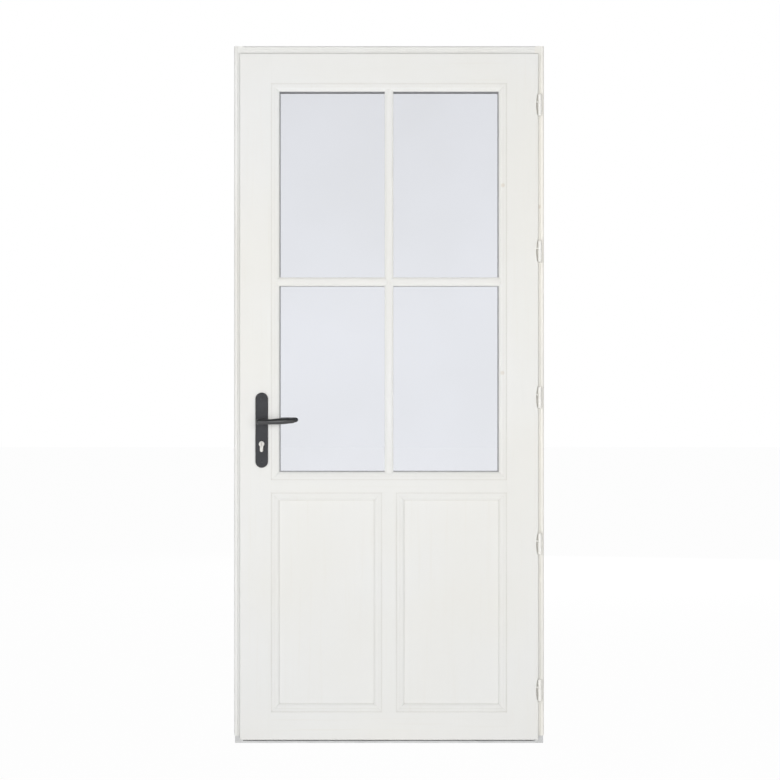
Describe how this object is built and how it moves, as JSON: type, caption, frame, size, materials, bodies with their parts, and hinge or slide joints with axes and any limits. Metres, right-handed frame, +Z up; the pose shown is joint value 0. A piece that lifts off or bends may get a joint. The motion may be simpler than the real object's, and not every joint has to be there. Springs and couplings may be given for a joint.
{
  "type": "entrance door",
  "caption": "Half-glazed panelled wooden entrance door, hung in a rebated frame with an aluminium threshold, with lever handles on long plates and a key cylinder.",
  "frame": {"origin": "middle of the threshold's underside: half way across the frame and half way through its depth, at floor level", "axes": "+Z up, +X across the doorway to the hinges, +Y through the doorway to the outside; the inside of the house is at -Y"},
  "size_m": [0.96, 0.1612, 2.16],
  "materials": {
    "painted_wood": "off-white satin paint on wood",
    "clear_glass": "clear double glazing",
    "black_rubber": "matt",
    "grey_rubber": "matt",
    "spacer_plastic": "matt",
    "threshold_aluminium": "natural anodised",
    "white_steel": "white satin",
    "black_metal": "satin black",
    "lock_steel": "brushed",
    "nickel": "satin nickel"
  },
  "bodies": {
    "frame": {"lock_jamb": "painted_wood", "hinge_jamb": "painted_wood", "frame_head": "painted_wood", "threshold": "threshold_aluminium", "frame_seal": "black_rubber", "strike_plate": "lock_steel", "hinge_pin_1": "white_steel", "hinge_pin_2": "white_steel", "hinge_pin_3": "white_steel", "hinge_pin_4": "white_steel", "hinge_pin_5": "white_steel"},
    "leaf": {"lock_stile": "painted_wood", "hinge_stile": "painted_wood", "top_rail": "painted_wood", "lock_rail": "painted_wood", "bottom_rail": "painted_wood", "panel_mullion": "painted_wood", "left_panel": "painted_wood", "right_panel": "painted_wood", "glazing_beads": "painted_wood", "left_panel_beads": "painted_wood", "right_panel_beads": "painted_wood", "inside_vertical_bar": "painted_wood", "inside_cross_bar": "painted_wood", "outside_vertical_bar": "painted_wood", "outside_cross_bar": "painted_wood", "weatherboard": "painted_wood", "inside_pane": "clear_glass", "outside_pane": "clear_glass", "glazing_gaskets": "grey_rubber", "glass_spacer": "spacer_plastic", "hinge_knuckle_1": "white_steel", "hinge_knuckle_2": "white_steel", "hinge_knuckle_3": "white_steel", "hinge_knuckle_4": "white_steel", "hinge_knuckle_5": "white_steel", "inside_plate": "black_metal", "outside_plate": "black_metal", "lock_faceplate": "lock_steel", "lock_bolts": "lock_steel", "lock_cylinder": "nickel"},
    "lever": {"inside_lever": "black_metal", "outside_lever": "black_metal", "spindle": "lock_steel"}
  },
  "joints": [
    {"name": "leaf_swing", "type": "hinge", "parent": "frame", "child": "leaf", "pos_m": [0.4665, -0.0435, 1], "axis": [0, 0, 1], "range_deg": [0, 170]},
    {"name": "lever_turn", "type": "hinge", "parent": "leaf", "child": "lever", "pos_m": [-0.3933, -0.022, 0.9971], "axis": [0, 1, 0], "range_deg": [0, 40], "stiffness_Nm_per_rad": 1.2, "springref_deg": -28.65}
  ]
}
